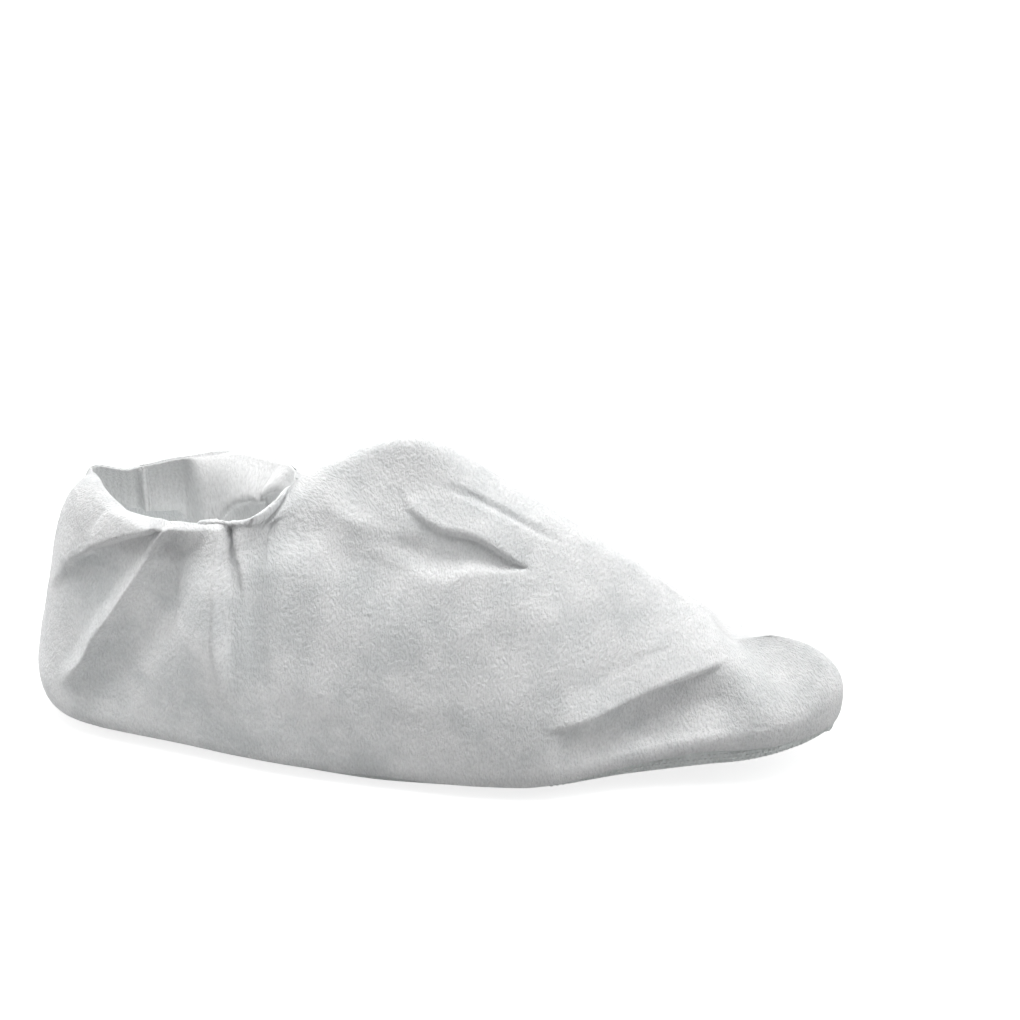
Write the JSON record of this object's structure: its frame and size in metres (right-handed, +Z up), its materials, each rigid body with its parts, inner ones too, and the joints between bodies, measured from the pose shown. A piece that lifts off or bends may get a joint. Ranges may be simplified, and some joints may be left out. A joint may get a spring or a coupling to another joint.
{
  "type": "disposable shoe cover",
  "caption": "Empty nonwoven overshoe with a gathered ankle opening, folded sides and a grip sole, worn over a shoe to keep floors clean.",
  "frame": {"origin": "on the floor plane under the middle of the overall box", "axes": "+X towards the toe, +Y to the wearer's left, which is the far side, +Z up"},
  "size_m": [0.3551, 0.13, 0.1383],
  "materials": {
    "nonwoven": "matt white spunbond nonwoven with a short upright grain",
    "hem": "the same white nonwoven, turned and gathered",
    "sole": "grey coated nonwoven with raised grip dots",
    "thread": "overlocked thread"
  },
  "bodies": {
    "root": {"upper": "nonwoven", "collar_hem": "hem", "heel_seam": "hem", "sole": "sole", "sole_seam": "thread"}
  },
  "joints": []
}
